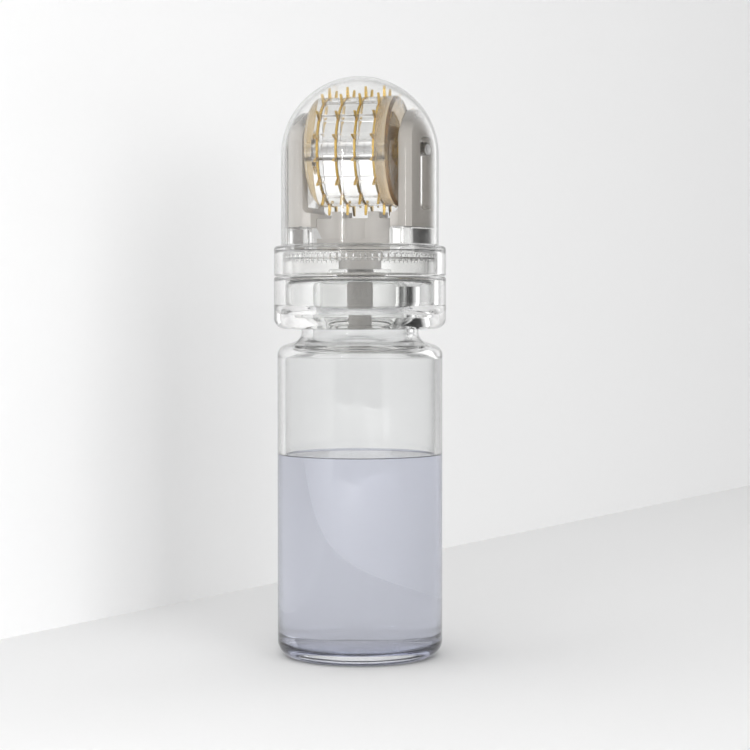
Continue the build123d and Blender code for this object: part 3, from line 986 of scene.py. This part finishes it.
def soft_box(name, place, target, size, watts, shown):
    """A rectangular lamp at a place, aimed at a target. Clear pieces mirror and show it if shown."""
    lamp = bpy.data.lights.new(name, "AREA")
    lamp.shape = "RECTANGLE"
    lamp.size, lamp.size_y = size
    lamp.energy = watts
    made = bpy.data.objects.new(name, lamp)
    made.location = place
    made.rotation_mode = "QUATERNION"
    made.rotation_quaternion = (Vector(target) - Vector(place)).to_track_quat("-Z", "Y")
    bpy.context.scene.collection.objects.link(made)
    made.visible_camera = shown
    made.visible_glossy = shown
    made.visible_transmission = shown


def make_camera(scene, s, away, right):
    """The camera, at its distance and height, turned by its pan and its tilt."""
    data = bpy.data.cameras.new("camera")
    data.lens = s.lens
    data.sensor_width = 36
    data.clip_start, data.clip_end = 0.01, 20
    camera = bpy.data.objects.new("camera", data)
    camera.location = -away * s.distance + Vector((0, 0, s.eye))
    aim = away * cos(s.pan) + right * sin(s.pan)
    aim = aim * cos(s.tilt) - Vector((0, 0, sin(s.tilt)))
    camera.rotation_mode = "QUATERNION"
    camera.rotation_quaternion = aim.to_track_quat("-Z", "Y")
    scene.collection.objects.link(camera)
    scene.camera = camera


def make_paper(s, away, right):
    """The wall behind the vial, and the floor from the wall's foot towards the camera."""
    normal = right * sin(s.wall_turn) - away * cos(s.wall_turn)
    along = (right * cos(s.wall_turn) + away * sin(s.wall_turn)) * s.paper_reach
    out = normal * 2 * s.paper_reach
    up = Vector((0, 0, s.paper_height))
    left_foot = -normal * s.wall_distance - along
    right_foot = -normal * s.wall_distance + along
    # Lit and shaded copies of the one paper: painted light on the wall, painted shade on the floor.
    painted_lit_wall_paper = one_sided("painted_lit_wall_paper", [c * s.wall_painted_light for c in s.paper])
    painted_shade_floor_paper = one_sided("painted_shade_floor_paper", [c * s.floor_painted_shade for c in s.paper])
    panel("wall", [left_foot, right_foot, right_foot + up, left_foot + up], painted_lit_wall_paper)
    panel("floor", [left_foot, left_foot + out, right_foot + out, right_foot], painted_shade_floor_paper)


def along_direction(tree, place, direction):
    """How far a place lies along a direction."""
    share = tree.nodes.new("ShaderNodeVectorMath")
    share.operation = "DOT_PRODUCT"
    share.inputs[1].default_value = direction
    tree.links.new(place, share.inputs[0])
    return share.outputs["Value"]


def make_sky(scene, s, right):
    """A sky that is brightest slantwise and dark at both sides, and dims towards the zenith. The
    camera sees one plain grey in its place."""
    world = bpy.data.worlds.new("sky")
    scene.world = world
    world.use_nodes = True
    tree = world.node_tree
    sky = tree.nodes["Background"]
    sky.inputs["Strength"].default_value = s.sky
    place = tree.nodes.new("ShaderNodeTexCoord").outputs["Generated"]

    sideways = tree.nodes.new("ShaderNodeMath")
    sideways.operation = "ABSOLUTE"
    tree.links.new(along_direction(tree, place, right), sideways.inputs[0])
    ramp = tree.nodes.new("ShaderNodeValToRGB")
    ramp.color_ramp.interpolation = "EASE"
    elements = ramp.color_ramp.elements
    for element, (at, grey) in zip(elements, (SKY_STOPS[0], SKY_STOPS[-1])):
        element.position, element.color = at, (grey, grey, grey, 1)
    for at, grey in SKY_STOPS[1:-1]:
        elements.new(at).color = (grey, grey, grey, 1)
    tree.links.new(sideways.outputs["Value"], ramp.inputs["Fac"])

    zenith = tree.nodes.new("ShaderNodeMapRange")
    zenith.inputs["From Min"].default_value = 0.2
    zenith.inputs["To Min"].default_value = 1.0
    zenith.inputs["To Max"].default_value = s.zenith
    tree.links.new(along_direction(tree, place, (0, 0, 1)), zenith.inputs["Value"])
    dimmed = tree.nodes.new("ShaderNodeVectorMath")
    dimmed.operation = "SCALE"
    tree.links.new(ramp.outputs["Color"], dimmed.inputs["Vector"])
    tree.links.new(zenith.outputs["Result"], dimmed.inputs["Scale"])

    seen = tree.nodes.new("ShaderNodeLightPath")
    plain = tree.nodes.new("ShaderNodeMix")
    plain.data_type = "RGBA"
    plain.inputs["B"].default_value = (s.backdrop, s.backdrop, s.backdrop, 1)
    tree.links.new(seen.outputs["Is Camera Ray"], plain.inputs["Factor"])
    tree.links.new(dimmed.outputs["Vector"], plain.inputs["A"])
    tree.links.new(plain.outputs["Result"], sky.inputs["Color"])


class ROLLER_OT_studio(Operator):
    """Make the camera, the pale wall and floor, the lamps and the sky"""

    bl_idname = "roller.studio"
    bl_label = "Studio"

    def execute(self, context):
        scene = context.scene
        s = scene.roller_studio
        away = Vector((-sin(s.azimuth), cos(s.azimuth), 0))
        right = Vector((cos(s.azimuth), sin(s.azimuth), 0))
        make_camera(scene, s, away, right)
        make_paper(s, away, right)
        for name, (nearer, across, up), aim, size, watts, shown in LAMPS:
            place = -away * nearer + right * across + Vector((0, 0, up))
            target = Vector((0, 0, s.aim_height)) + right * aim
            soft_box(name, place, target, size, watts, shown)
        make_sky(scene, s, right)
        scene.view_settings.view_transform = "Standard"
        scene.cycles.max_bounces = 32
        scene.cycles.transmission_bounces = 32
        scene.cycles.glossy_bounces = 12
        scene.cycles.transparent_max_bounces = 16
        return {"FINISHED"}


class ROLLER_PT_panel(Panel):
    """Lists the operators in the order that they run in"""

    bl_label = "Derma roller"
    bl_idname = "ROLLER_PT_panel"
    bl_space_type = "VIEW_3D"
    bl_region_type = "UI"
    bl_category = "Roller"

    def draw(self, context):
        for step in STEPS:
            self.layout.operator(step.bl_idname)


STEPS = (
    ROLLER_OT_studio,
    ROLLER_OT_vial,
    ROLLER_OT_serum,
    ROLLER_OT_collar,
    ROLLER_OT_wick,
    ROLLER_OT_fork,
    ROLLER_OT_brackets,
    ROLLER_OT_discs,
    ROLLER_OT_drum,
    ROLLER_OT_cap,
)
GROUPS = (
    ("roller_vial", VialSizes),
    ("roller_head", HeadSizes),
    ("roller_parts", RollerSizes),
    ("roller_cap", CapSizes),
    ("roller_studio", StudioSettings),
)


def register():
    """Registers the settings, the operators and the panel."""
    for name, group in GROUPS:
        bpy.utils.register_class(group)
        setattr(bpy.types.Scene, name, PointerProperty(type=group))
    for operator in STEPS:
        bpy.utils.register_class(operator)
    bpy.utils.register_class(ROLLER_PT_panel)


def unregister():
    """Takes them away again."""
    bpy.utils.unregister_class(ROLLER_PT_panel)
    for operator in reversed(STEPS):
        bpy.utils.unregister_class(operator)
    for name, group in reversed(GROUPS):
        delattr(bpy.types.Scene, name)
        bpy.utils.unregister_class(group)


def main():
    """Makes everything in order."""
    register()
    for step in STEPS:
        group, name = step.bl_idname.split(".")
        getattr(getattr(bpy.ops, group), name)()


if __name__ == "__main__":
    main()
